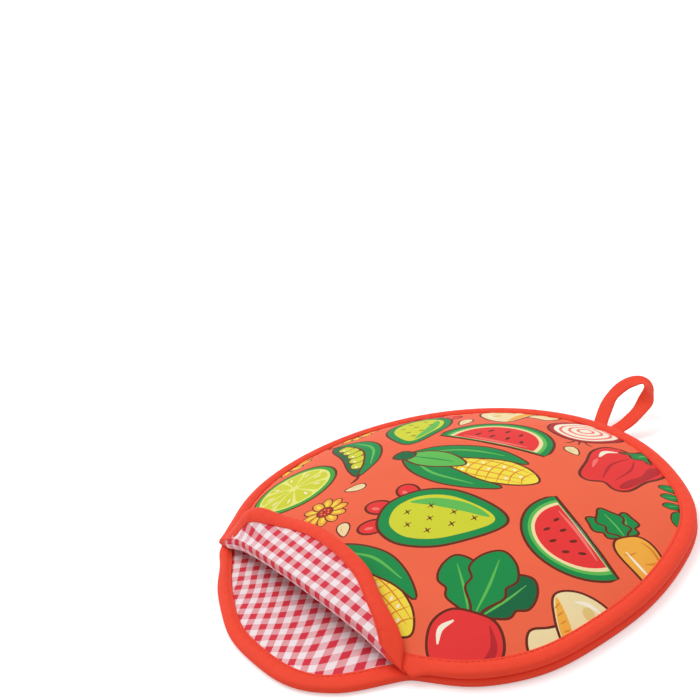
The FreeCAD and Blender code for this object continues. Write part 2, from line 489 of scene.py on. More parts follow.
def smooth_line(points, steps):
    """Smooth open line through control points."""
    p = np.array(points, float)
    ends = np.concatenate([2 * p[:1] - p[1:2], p, 2 * p[-1:] - p[-2:-1]])
    a, b, c, d = (ends[k:len(ends) - 3 + k, None] for k in range(4))
    t = (np.arange(steps) / steps)[:, None]
    line = 0.5 * (2 * b + (c - a) * t + (2 * a - 5 * b + 4 * c - d) * t ** 2
                  + (3 * b - a - 3 * c + d) * t ** 3)
    return np.concatenate([line.reshape(-1, p.shape[1]), p[-1:]])


def stroke(width, *points, steps=6):
    """Line that swells in the middle and tapers at both ends."""
    line = smooth_line(points, steps)
    ahead = np.gradient(line, axis=0)
    side = np.stack([-ahead[:, 1], ahead[:, 0]], -1) / np.maximum(np.hypot(*ahead.T), 1e-9)[:, None]
    half = width / 2 * (0.3 + 0.7 * np.sin(np.linspace(0, math.pi, len(line))))[:, None]
    return np.concatenate([line + side * half, (line - side * half)[::-1]])


class Motif(list):
    """Shapes of one printed motif, each an ink and an outline, in the order of printing."""

    def fill(self, ink, polygon):
        self.append((ink, polygon))

    def inked(self, ink, polygon, line=1.5):
        """Filled shape with a dark outline round it."""
        self.fill("outline", grow(polygon, line))
        self.fill(ink, polygon)

    def line(self, ink, width, *points, steps=6):
        self.fill(ink, stroke(width, *points, steps=steps))

    def leaves(self, blade, vein, x, y, rows, outline=1.5):
        """Leaves that grow from a place; rows give the ink, turn and size of each."""
        for ink, turn, size in rows:
            self.inked(ink, place(blade * size, x, y, turn), outline)
            self.fill("leaf_light", place(vein * size, x, y, turn))


def corn(draw):
    draw.inked("lemon", twin_blob((0, -34), (11, -26), (15, -4), (14, 20), (10, 38), (0, 48)))
    for k in range(9):
        y = 40 - 7.6 * k
        w = 14.5 * math.sqrt(max(0.05, 1 - ((y - 6) / 44) ** 2))
        draw.line("gold_dark", 1.0, (-w, y + 1.6), (0, y - 1.6), (w, y + 1.6))
    for x in (-9, -3.2, 3.2, 9):
        draw.line("gold_dark", 1.0, (x * 0.75, 42), (x * 1.1, 12), (x, -24))
    for x, y in ((-6, 29), (-6.3, 21.5), (0, 13.8), (-6.4, 6), (6, 29.5), (0, 36.5), (6.4, -2), (0, -1.8)):
        draw.fill("white", oval(x, y, 1.5, 1.0, 30, 10))
    husk = blob((2, -50), (17, -36), (26, -12), (25, 12), (17, 32), (14, 12), (8, -10), (0, -30))
    for side in (-1, 1):
        draw.inked("leaf", husk * (side, 1))
        draw.line("leaf_light", 2.2, (side * 6, -40), (side * 18, -16), (side * 20, 14))
    draw.inked("leaf_light", twin_blob((0, -52), (9, -38), (9, -20), (0, -4)))
    draw.line("leaf", 1.6, (0, -46), (0.6, -30), (0, -12))
    draw.inked("leaf_dark", blob((-4, -46), (4, -46), (5, -57), (-5, -57), steps=4))


def citrus(draw):
    rim, r = 28.0, 23.0
    draw.inked("rind", oval(0, 0, rim, rim, 0, 48), 1.7)
    draw.fill("lime_pale", oval(0, 0, rim - 3.2, rim - 3.2, 0, 44))
    segment = blob((3.0, 0), (r * 0.55, -r * 0.16), (r * 0.93, -r * 0.24), (r, 0), (r * 0.93, r * 0.24),
                   (r * 0.55, r * 0.16), steps=4)
    for k in range(9):
        draw.fill("lime", place(segment, turn=40 * k + 7))
        draw.fill("white", place(oval(r * 0.72, r * 0.1, r * 0.12, r * 0.03, 0, 8), turn=40 * k + 7))


def radish(draw):
    draw.leaves(twin_blob((0, 0), (3, 10), (10, 20), (9, 27), (13, 34), (9, 44), (0, 50), steps=5),
                stroke(1.6, (0, 4), (0.8, 24), (0, 44)), 0, 12,
                (("leaf_dark", -32, 0.86), ("leaf", 30, 0.9), ("leaf", -2, 1.0)))
    draw.line("outline", 5.0, (0, -14), (1, -27), (7, -40))
    draw.line("pink", 2.4, (0, -14), (1, -26), (6, -38))
    draw.inked("red", twin_blob((0, -24), (8, -19), (17, -8), (19, 5), (12, 16), (0, 18)))
    draw.fill("red_dark", blob((2, -20), (14, -10), (16.5, 4), (9, 14.5), (13, 3), (9, -8), steps=5))
    draw.line("white", 3.0, (-13, -4), (-14, 4), (-9, 11))
    draw.fill("pink", blob((-2, -21), (-7, -17), (-2, -13), (4, -17), steps=4))


def pod(draw):
    draw.inked("leaf_dark", blob((-40, 8), (-24, -7), (0, -13), (24, -8), (40, 7), (26, 13), (0, 11),
                                 (-26, 12)))
    for k in range(5):
        x, rise = 11 * k - 22, abs(k - 2) * 1.2
        draw.inked("lime", oval(x, 1.5 + rise, 6.0, 6.0), 1.0)
        draw.fill("white", oval(x - 1.8, 4.2 + rise, 1.6, 1.0, 20, 8))
    draw.inked("leaf", blob((-40, 8), (-24, -9), (0, -16), (24, -10), (40, 7), (22, -1), (0, -5), (-22, 0)))
    draw.line("leaf_light", 2.2, (-28, -3), (0, -11), (28, -4))
    draw.line("outline", 3.4, (38, 7), (45, 13), (52, 13))
    draw.line("outline", 2.4, (-38, 7), (-44, 11), (-47, 16))


def mushroom(draw):
    draw.inked("cream", blob((-7, 0), (7, 0), (8, -14), (9, -24), (0, -28), (-9, -24), (-8, -14)))
    draw.fill("cream_dark", blob((2, -2), (6, -2), (7, -14), (7.5, -23), (2, -26), (4, -14), steps=4))
    draw.inked("cream", blob((-26, -3), (-25, 10), (-14, 22), (0, 26), (14, 22), (25, 10), (26, -3), (13, -8),
                             (0, -9), (-13, -8)))
    draw.fill("gold", blob((-25, -3), (-12, -7.5), (0, -8.5), (12, -7.5), (25, -3), (12, -1.5), (0, -2),
                           (-12, -1.5), steps=5))
    for k in range(-4, 5):
        draw.line("gold_dark", 1.0, (k * 5.2, -2.6), (k * 4.6, -6.6), steps=3)
    for x, y, r in ((-12, 11, 4), (2, 16, 5), (14, 7, 3.4), (-2, 6, 2.4)):
        draw.fill("cream_dark", oval(x, y, r, r * 0.8))
    draw.line("white", 2.4, (-20, 6), (-17, 13), (-10, 19))


def carrot(draw):
    draw.leaves(twin_blob((0, 0), (2.4, 6), (7, 10), (5, 15), (8, 20), (4, 26), (0, 31), steps=4),
                stroke(1.2, (0, 3), (0.5, 15), (0, 26)), 0, 27,
                (("leaf", -26, 0.85), ("leaf", 24, 0.9), ("leaf", 0, 1.0)))
    draw.inked("gold", twin_blob((0, -44), (4, -28), (8.5, -4), (11.5, 18), (8, 28), (0, 30)))
    draw.fill("gold_dark", blob((1, -36), (6, -6), (8.5, 16), (6, 25), (10, 17), (7.6, -5), steps=5))
    for x, y, w in ((-9, 18, 8), (6, 9, -7), (-7, 0, 7), (4, -9, -6), (-4.5, -17, 5), (2.5, -26, -4)):
        draw.line("gold_dark", 1.2, (x, y), (x + w * 0.5, y - 1), (x + w, y), steps=3)
    draw.line("white", 1.8, (-6.5, 20), (-5.5, 8), (-4, -2))


def onion(draw):
    shell = twin_blob((0, -25), (12, -21), (22, -9), (22, 5), (12, 16), (3.5, 23), (3, 34))
    draw.inked("red_dark", shell)
    draw.fill("white", shell * 0.87 + (0, -0.6))
    ring = twin_blob((0, -25), (12, -21), (22, -9), (22, 5), (12, 16), (4, 22), steps=5)
    for k, size in enumerate((0.72, 0.64, 0.48, 0.4, 0.25, 0.17)):
        draw.fill("white" if k % 2 else "pink", ring * size + (0, -2.2))
    for x in (-5, 0, 5):
        draw.line("outline", 1.4, (x * 0.5, -25), (x, -29), (x * 1.7, -32), steps=3)


def melon(draw):
    bow = np.radians(np.linspace(180, 360, 25))
    wedge = np.stack([np.cos(bow), np.sin(bow) * 0.92], -1)
    draw.inked("leaf", wedge * 36, 1.7)
    for ink, size, down in (("leaf_light", 32.4, 0.6), ("cream", 30, 0.9), ("red", 27.4, 1.4)):
        draw.fill(ink, wedge * size + (0, -down))
    draw.line("pink", 2.2, (-22, -4), (0, -3.2), (22, -4))
    for x, y, turn in ((-15, -9, 24), (-5, -10, 8), (5, -9, -8), (15, -9, -24), (-9, -18, 14), (1, -19.5, 0),
                       (11, -17, -16)):
        draw.fill("outline", oval(x, y, 1.2, 2.3, turn, 10))


def pepper(draw):
    draw.inked("red", twin_blob((0, -27), (8, -31), (14, -26), (17, -10), (21, 6), (18, 19), (9, 23), (0, 19)),
               1.7)
    draw.fill("red_dark", blob((9, -28), (14, -22), (19, 6), (16, 18), (12, 12), (13, -4), (9, -18), steps=5))
    draw.line("red_dark", 1.8, (-1, 14), (-5, -4), (-2, -24))
    draw.line("red_dark", 1.4, (2, 14), (6, -2), (4, -22))
    draw.line("white", 3.4, (-15, 2), (-15.5, 11), (-10, 17))
    draw.line("pink", 2.4, (-12, -14), (-14, -6), (-14.6, -1))
    draw.inked("leaf", blob((-9, 18), (-4, 21), (0, 17), (5, 21), (10, 18), (5, 26), (5, 33), (9, 39), (2, 40),
                            (-1, 33), (-3, 26), steps=5))
    draw.line("leaf_light", 1.8, (1, 22), (2, 30), (5, 37))


def sprig(draw):
    draw.line("outline", 3.0, (0, -26), (2, 0), (0, 26))
    leaf = blob((0, 0), (6, -4.5), (14, -4), (19, 0), (14, 4.5), (6, 4.5), steps=4)
    vein = stroke(1.0, (3, 0), (9, 0.4), (15, 0), steps=3)
    for k, (y, side) in enumerate(((-12, 1), (-6, -1), (3, 1), (9, -1), (17, 1), (21, -1))):
        draw.leaves(leaf, vein, 1, y, [("leaf", 90 - side * 56, 1.0 - 0.08 * k)], 1.1)
    draw.inked("leaf", place(leaf, 0, 24, 92), 1.1)


def flower(draw):
    for k in range(10):
        draw.inked("gold", place(oval(12.5, 0, 7.5, 4.2, 0, 14), turn=36 * k + 4), 1.2)
    for k in range(10):
        draw.fill("lemon", place(oval(12, 0, 4.4, 1.5, 0, 10), turn=36 * k + 4))
    draw.inked("red_dark", oval(0, 0, 6.6, 6.6), 1.2)
    for k in range(6):
        draw.fill("gold", place(oval(3.6, 0, 0.9, 0.9, 0, 8), turn=60 * k))


def cactus(draw):
    for x, y, turn in ((-9, 36, 12), (8, 37, -14), (23, 24, -48)):
        draw.inked("red", oval(x, y, 5.4, 7.6, turn))
        draw.fill("pink", oval(x - 1.4, y + 1.6, 1.3, 2.6, turn, 10))
    draw.inked("leaf", twin_blob((0, -36), (12, -26), (23, -4), (23, 16), (13, 30), (0, 34)), 1.7)
    draw.fill("lime", twin_blob((0, -30), (9, -22), (18, -3), (18, 14), (10, 25), (0, 28)))
    draw.fill("leaf_light", blob((2, -27), (12, -14), (16, 6), (12, 20), (9, 5), (5, -12), steps=5))
    for x, y in ((-8, 16), (3, 19), (-12, 4), (-2, 5), (9, 7), (-6, -8), (4, -7), (0, -19)):
        for up in (1.6, -1.6):
            draw.line("outline", 1.1, (x - 2, y - up), (x + 2, y + up), steps=2)


def seed(draw):
    draw.inked("cream", blob((0, 7), (3.6, 0), (3, -5), (0, -6.5), (-3, -5), (-3.6, 0), steps=4), 1.0)
    draw.line("cream_dark", 0.9, (0.6, 3), (1.4, -1), (0.6, -4), steps=3)


LAYOUT = (
    (corn, 2, 28, 288, 1.00), (cactus, 32, -23, 126, 1.12), (melon, -14, 60, 195, 1.15),
    (corn, 41, -89, 266, 0.90), (radish, 108, -75, 27, 1.00), (cactus, -85, 52, 44, 0.95),
    (melon, 99, 27, 341, 1.00), (carrot, -22, -105, 232, 1.00), (pod, -87, 0, 158, 1.00),
    (citrus, -92, -52, 221, 1.05), (onion, 5, 129, 36, 1.05), (mushroom, -55, 122, 114, 1.05),
    (pepper, 61, 102, 18, 1.05), (carrot, 142, 36, 75, 0.95), (pod, -82, -110, 148, 0.92),
    (mushroom, 144, -29, 332, 0.95), (flower, -144, -27, 249, 0.95), (flower, -137, 31, 218, 0.85),
    (sprig, 101, 107, 211, 0.80), (flower, -37, -62, 204, 0.75), (flower, 86, -119, 327, 0.65),
    (sprig, 52, -133, 156, 0.60), (seed, -64, 79, 206, 1.10), (seed, -65, -87, 352, 1.00),
    (seed, -9, -67, 237, 1.00), (seed, 30, 91, 252, 1.00), (seed, -41, -34, 145, 1.00),
)    # motif, x, y, turn in degrees, scale


def print_shapes(edge, turn=0.0):
    """Every printed shape that meets a ply, in the order of printing; turn shifts the cloth round."""
    low, high = edge.points.min(0) - 2, edge.points.max(0) + 2
    shapes = []
    for motif, x, y, tilt, scale in LAYOUT:
        drawn = Motif()
        motif(drawn)
        for ink, polygon in drawn:
            polygon = place(place(polygon, x, y, tilt, scale), turn=turn)
            if (polygon.max(0) > low).all() and (polygon.min(0) < high).all():
                shapes.append((ink, polygon))
    return shapes


def ink_faces(middles, shapes):
    """Colour of each triangle: the last shape over its middle wins."""
    shades = {name: np.array(shade) / 255 for name, shade in INKS.items()}
    shades["outline"] = np.array(colours().outline)
    out = np.tile(np.array(colours().ground), (len(middles), 1))
    for ink, polygon in shapes:
        low, high = polygon.min(0), polygon.max(0)
        near = np.where(((middles >= low) & (middles <= high)).all(1))[0]
        if len(near):
            out[near[inside(polygon, middles[near])]] = shades[ink]
    return out


# ---------------------------------------------------------------- materials

def feed(socket, value):
    """Links a socket to another, or sets it to a number, vector or colour."""
    if isinstance(value, bpy.types.NodeSocket):
        socket.id_data.links.new(value, socket)
    else:
        socket.default_value = value


def add_node(tree, kind, *values, **named):
    """New shader node; values feed its first inputs, and the named ones those of that name."""
    node = tree.nodes.new("ShaderNode" + kind)
    for socket, value in zip(node.inputs, values):
        feed(socket, value)
    for label, value in named.items():
        feed(node.inputs[label], value)
    return node


def maths(tree, operation, *values):
    """Result of a maths node on sockets or numbers."""
    node = tree.nodes.new("ShaderNodeMath")
    node.operation = operation
    for socket, value in zip(node.inputs, values):
        feed(socket, value)
    return node.outputs[0]


def blend_colours(tree, amount, a, b, mode="MIX"):
    node = tree.nodes.new("ShaderNodeMix")
    node.data_type = "RGBA"
    node.blend_type = mode
    for k, value in ((0, amount), (6, a), (7, b)):
        feed(node.inputs[k], value)
    return node.outputs[2]


def noise(tree, vector, scale, detail=3.0):
    return add_node(tree, "TexNoise", vector, Scale=scale, Detail=detail, Roughness=0.55).outputs["Fac"]


def shared_group(name, inputs, outputs, fill):
    """Shader node group that is built once; fill adds its nodes between its inputs and outputs."""
    tree = bpy.data.node_groups.get(name)
    if tree is None:
        tree = bpy.data.node_groups.new(name, "ShaderNodeTree")
        for label, kind, *default in inputs:
            socket = tree.interface.new_socket(name=label, in_out="INPUT", socket_type="NodeSocket" + kind)
            if default:
                socket.default_value = default[0]
        for label, kind in outputs:
            tree.interface.new_socket(name=label, in_out="OUTPUT", socket_type="NodeSocket" + kind)
        fill(tree, tree.nodes.new("NodeGroupInput").outputs, tree.nodes.new("NodeGroupOutput").inputs)
    return tree


def fill_weave(tree, come, go):
    """Plain weave of round yarns: their height and which yarn is on top."""
    plan = add_node(tree, "SeparateXYZ", come["Plan"]).outputs
    waves = []
    for k in (0, 1):
        turns = maths(tree, "DIVIDE", plan[k], come["Pitch"])
        waves.append(maths(tree, "SINE", maths(tree, "MULTIPLY", turns, math.pi)))
    top = maths(tree, "GREATER_THAN", maths(tree, "MULTIPLY", *waves), 0.0)
    warp, weft = (maths(tree, "ABSOLUTE", wave) for wave in waves)
    over = maths(tree, "MULTIPLY", top, warp)
    under = maths(tree, "MULTIPLY", maths(tree, "SUBTRACT", 1.0, top), weft)
    feed(go["Height"], maths(tree, "ADD", over, under))
    feed(go["Warp on top"], top)


def fill_tone(tree, come, go):
    """Uneven tone of dyed and handled cloth: slow mottling and fine slubs."""
    slow = noise(tree, come["Plan"], 18.0)
    yarns = add_node(tree, "Mapping", come["Plan"], Scale=(90.0, 900.0, 1.0))
    fine = noise(tree, yarns.outputs[0], 1.0, 2.0)
    mottle, slub = (maths(tree, "MULTIPLY", maths(tree, "SUBTRACT", tone, 0.5), come[label])
                    for tone, label in ((slow, "Mottle"), (fine, "Slub")))
    level = maths(tree, "ADD", maths(tree, "ADD", mottle, slub), 1.0)
    grey = add_node(tree, "CombineColor", level, level, level)
    feed(go["Color"], blend_colours(tree, 1.0, come["Color"], grey.outputs[0], "MULTIPLY"))
    feed(go["Roughness"], maths(tree, "ADD", maths(tree, "MULTIPLY", slow, 0.2), 0.5))


def make_cloth(name, colour, pitch, depth, mottle=0.08, slub=0.05, sheen=0.15, specular=0.3):
    """Cloth with its weave, tone and sheen; colour is a screen colour, or a function that gives a socket."""
    material = bpy.data.materials.get(name)
    if material is not None:
        return material
    material = bpy.data.materials.new(name)
    material.use_nodes = True
    tree = material.node_tree
    plan = tree.nodes.new("ShaderNodeUVMap")
    plan.uv_map = "Plan"
    weave, tone = tree.nodes.new("ShaderNodeGroup"), tree.nodes.new("ShaderNodeGroup")
    weave.node_tree = shared_group("Weave", [("Plan", "Vector"), ("Pitch", "Float", 0.0005)],
                                   [("Height", "Float"), ("Warp on top", "Float")], fill_weave)
    tone.node_tree = shared_group("Cloth tone", [("Color", "Color"), ("Plan", "Vector"),
                                                 ("Mottle", "Float", 0.08), ("Slub", "Float", 0.05)],
                                  [("Color", "Color"), ("Roughness", "Float")], fill_tone)
    if callable(colour):
        colour = colour(tree, plan.outputs[0], weave.outputs["Warp on top"])
    else:
        colour = linear(colour)
    for node, label, value in ((weave, "Plan", plan.outputs[0]), (weave, "Pitch", pitch),
                               (tone, "Plan", plan.outputs[0]), (tone, "Color", colour),
                               (tone, "Mottle", mottle), (tone, "Slub", slub)):
        feed(node.inputs[label], value)
    relief = add_node(tree, "Bump", Distance=depth, Strength=0.6, Height=weave.outputs["Height"])
    shader = tree.nodes["Principled BSDF"]
    for label, value in (("Normal", relief.outputs[0]), ("Base Color", tone.outputs["Color"]),
                         ("Roughness", tone.outputs["Roughness"]), ("Sheen Weight", sheen),
                         ("Sheen Roughness", 0.4), ("Specular IOR Level", specular)):
        feed(shader.inputs[label], value)
    return material


def printed_cloth():
    def inks(tree, plan, top):
        node = tree.nodes.new("ShaderNodeAttribute")
        node.attribute_name = "Print"
        return node.outputs["Color"]

    return make_cloth("Printed cover cloth", inks, sizes().yarn, 0.00006, mottle=0.1, sheen=0.01,
                      specular=0.12)


def gingham_cloth():
    """Warp and weft that change between white and red every check; each yarn shows where it is on top."""
    def checks(tree, plan, top):
        place_on = add_node(tree, "SeparateXYZ", plan).outputs
        yarns = []
        for k in (0, 1):
            phase = maths(tree, "FRACT", maths(tree, "DIVIDE", place_on[k], 2 * sizes().check))
            dyed = maths(tree, "GREATER_THAN", phase, 0.5)
            yarns.append(blend_colours(tree, dyed, linear(colours().white), linear(colours().red)))
        half = blend_colours(tree, 0.62, yarns[0], yarns[1])
        return blend_colours(tree, 0.3, half, blend_colours(tree, top, yarns[1], yarns[0]))

    return make_cloth("Gingham lining cloth", checks, sizes().yarn * 1.1, 0.00008, mottle=0.06, sheen=0.03,
                      specular=0.1)


def binding_tape():
    return make_cloth("Binding tape", colours().binding, sizes().yarn, 0.00008, mottle=0.1, sheen=0.04,
                      specular=0.15)


def sewing_thread():
    return make_cloth("Sewing thread", colours().thread, sizes().thread, 0.00005, mottle=0.15, sheen=0.2)


def fibre_fill():
    return make_cloth("Fibre fill", (0.93, 0.93, 0.9), 0.0021, 0.0004, mottle=0.2, slub=0.2, sheen=0.3)


# ---------------------------------------------------------------- pieces of cloth

FINISHES = {"printed_cover": printed_cloth, "checked_lining": gingham_cloth, "batting": fibre_fill,
            "binding_tape": binding_tape}
CLOTH_UNDER = 3.0    # how far covers and linings reach in under the binding
FILL_UNDER = 2.0     # the same for the batting
LIP_HELD = 97.0      # where the lip's sides are sewn down
LIP_FREE = 58.0      # from here to the middle the whole lip turns about its fold
HEM_END = 90.0
FAR = 200.0          # beyond every piece
LIP_PARTS = ("left", -FAR, -LIP_FREE), ("middle", -LIP_FREE, LIP_FREE), ("right", LIP_FREE, FAR)


def declare_cloth(piece, held, *rests_on):
    """Reads a sheet's flat layout from its Plan map, and the corner that follows each corner round its face.
    """
    mesh = piece.data
    flat = np.zeros(2 * len(mesh.loops), np.float32)
    mesh.uv_layers["Plan"].data.foreach_get("uv", flat)
    flat = flat.reshape(-1, 2).astype(float)
    first, total = (np.zeros(len(mesh.polygons), np.int32) for _ in range(2))
    mesh.polygons.foreach_get("loop_start", first)
    mesh.polygons.foreach_get("loop_total", total)
    after = np.arange(1, len(flat) + 1)
    after[first + total - 1] = first


def sew(name, slot, points, faces, plan, node=None, material=None, inks=None):
    """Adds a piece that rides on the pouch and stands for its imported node."""
    piece = add_mesh(name, points, faces, material or FINISHES[slot](), plan, inks)
    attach(piece, "pouch")
    if node:
        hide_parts(node)
    return piece


def cut_across(points, faces, reach, parts):
    """Cuts a mesh at places across the mouth. Gives each part's name, which faces it takes, the points they
    use, those faces counted in these points, and their normals on the whole mesh."""
    normals = vertex_normals(points, faces)
    middles = reach[faces].mean(1)
    for part, low, high in parts:
        chosen = (middles >= low) & (middles < high)
        used, index = used_points(faces[chosen])
        yield part, chosen, used, index, normals[used]


def lip_pieces(name, slot, points, faces, plan, node=None, material=None, inks=None, reach=None,
               rests_on=None):
    """Cuts a piece of the upper lip in three: the middle turns with the flap, the sides stay as they are made.
    """
    pieces = []
    reach = plan[:, 0] if reach is None else reach
    for part, chosen, used, index, normals in cut_across(points, faces, reach, LIP_PARTS):
        piece = add_mesh(f"{name}_{part}", points[used], index, material or FINISHES[slot](), plan[used],
                         None if inks is None else inks[chosen], normals)
        if part == "middle":
            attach(piece, "mouth_flap")
            if node:
                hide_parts(node)
        else:
            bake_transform(piece)
        if rests_on is not None:
            declare_cloth(piece, "folded", *rests_on)
        pieces.append(piece)
    return pieces


def cover_height(form, x, y, edge, amount=1.0):
    """Outer height of a padded ply: it dips and puckers where the binding is stitched down."""
    depth, rim = edge.depth(x, y)
    inner = np.clip(depth - form.tape + 1.5, 0, None)
    dip = -0.75 * np.exp(-inner / 4.5)
    pucker = 0.28 * np.exp(-((inner - 3) / 6) ** 2) * ripple(np.arctan2(y, x) * rim, 1.3, 11.0)
    return amount * (dip + pucker + 0.35 * billow(x, y, 0.8, 62.0) * ease(inner / 25))


def border(form, edge, inset, h):
    """Inset edge of a panel, closed along the fold at height h: of the dome behind it or the lip in front."""
    lip = edge is form.lip_edge
    ends = (edge.left, edge.right) if lip else (edge.right, edge.left)
    ring = edge.inset(inset)[edge.stretch(*ends)][::3]
    if lip:
        h = h + form.lift
    behind = ring[:, 1] - form.fold_y(ring[:, 0], h)
    ring = ring[(-behind if lip else behind) > 0.6]
    x = np.linspace(ring[-1, 0], ring[0, 0], 100)
    return np.concatenate([ring, np.stack([x, form.fold_y(x, h)], -1)])


def slab(verts, faces, low, high):
    """Closed batting between two surfaces over the same plan mesh, and its plan."""
    n = len(verts)
    sides = {}
    for a, b, c in faces.tolist():
        for e in ((a, b), (b, c), (c, a)):
            if (e[1], e[0]) in sides:
                del sides[(e[1], e[0])]
            else:
                sides[e] = True
    walls = [(a, a + n, b + n) for a, b in sides] + [(a, b + n, b) for a, b in sides]
    return (np.concatenate([high, low]), np.concatenate([faces, faces[:, ::-1] + n, np.array(walls)]),
            np.tile(verts, (2, 1)))


class WARMER_OT_base(bpy.types.Operator):
    """Lower ply: printed cover underneath, batting, and gingham lining on top"""
    bl_idname = "warmer.base"
    bl_label = "Base"
    bl_options = {"REGISTER", "UNDO"}

    PRINT_TURN = 137.0    # degrees
    LINING_TURN = 45.0

    def execute(self, context):
        form = Form()
        edge = form.base_edge
        rim = edge.inset(form.tape - CLOTH_UNDER)[::3]
        shapes = print_shapes(edge, self.PRINT_TURN)
        verts, faces, middles = panel(rim, 3.0, shapes)
        x, y = verts.T
        h = 0.12 + 0.35 * np.exp(-np.clip(edge.depth(x, y)[0] - form.tape, 0, None) / 6)
        cover = sew("base_cover_cloth", "printed_cover", form.base(x, y, h), faces[:, ::-1], verts,
                    "base_cover", inks=ink_faces(middles, shapes))
        declare_cloth(cover, "laid", "base_batting_fill")

        verts, faces, _ = panel(rim, 3.0)
        x, y = verts.T
        top = form.ply + cover_height(form, x, y, edge, 0.9) - 0.05
        lining = sew("base_lining_cloth", "checked_lining", form.base(x, y, top), faces,
                     place(verts, turn=self.LINING_TURN), "base_lining")
        declare_cloth(lining, "laid", "base_batting_fill")

        verts, faces, _ = panel(edge.inset(form.tape - FILL_UNDER)[::3], 5.0)
        x, y = verts.T
        top = form.ply + cover_height(form, x, y, edge, 0.9) - 0.6
        block = slab(verts, faces, form.base(x, y, 0.7), form.base(x, y, np.maximum(top, 1.2)))
        sew("base_batting_fill", "batting", *block, "base_batting")
        return {"FINISHED"}


class WARMER_OT_top(bpy.types.Operator):
    """Upper ply behind the fold: printed cover, batting and gingham lining of the dome"""
    bl_idname = "warmer.top"
    bl_label = "Top"
    bl_options = {"REGISTER", "UNDO"}

    def execute(self, context):
        form = Form()
        edge = form.base_edge

        def height(x, y):
            return form.ply + cover_height(form, x, y, edge) * ease((y - form.fold_y(x, 5)) / 20)

        shapes = print_shapes(form.lip_edge)
        verts, faces, middles = panel(border(form, edge, form.tape - CLOTH_UNDER, form.ply), 3.0, shapes)
        x, y = verts.T
        cover = sew("top_cover_cloth", "printed_cover", form.dome(x, y, height(x, y)), faces, verts,
                    "top_cover", inks=ink_faces(middles, shapes))
        declare_cloth(cover, "stretched", "top_batting_fill")

        verts, faces, _ = panel(border(form, edge, form.tape - CLOTH_UNDER, 0.0), 3.5)
        x, y = verts.T
        low = 0.45 - 0.35 * ease((edge.depth(x, y)[0] - 8) / 12)
        lining = sew("top_lining_cloth", "checked_lining", form.dome(x, y, low), faces[:, ::-1], verts,
                     "top_lining")
        declare_cloth(lining, "stretched", "top_batting_fill")

        verts, faces, _ = panel(border(form, edge, form.tape - FILL_UNDER, 2.5), 5.0)
        x, y = verts.T
        block = slab(verts, faces, *(form.dome(x, np.maximum(y, form.fold_y(x, h) + 0.3), h)
                                     for h in (0.8 + 0 * x, np.maximum(height(x, y) - 0.6, 1.3))))
        sew("top_batting_fill", "batting", *block, "top_batting")
        return {"FINISHED"}


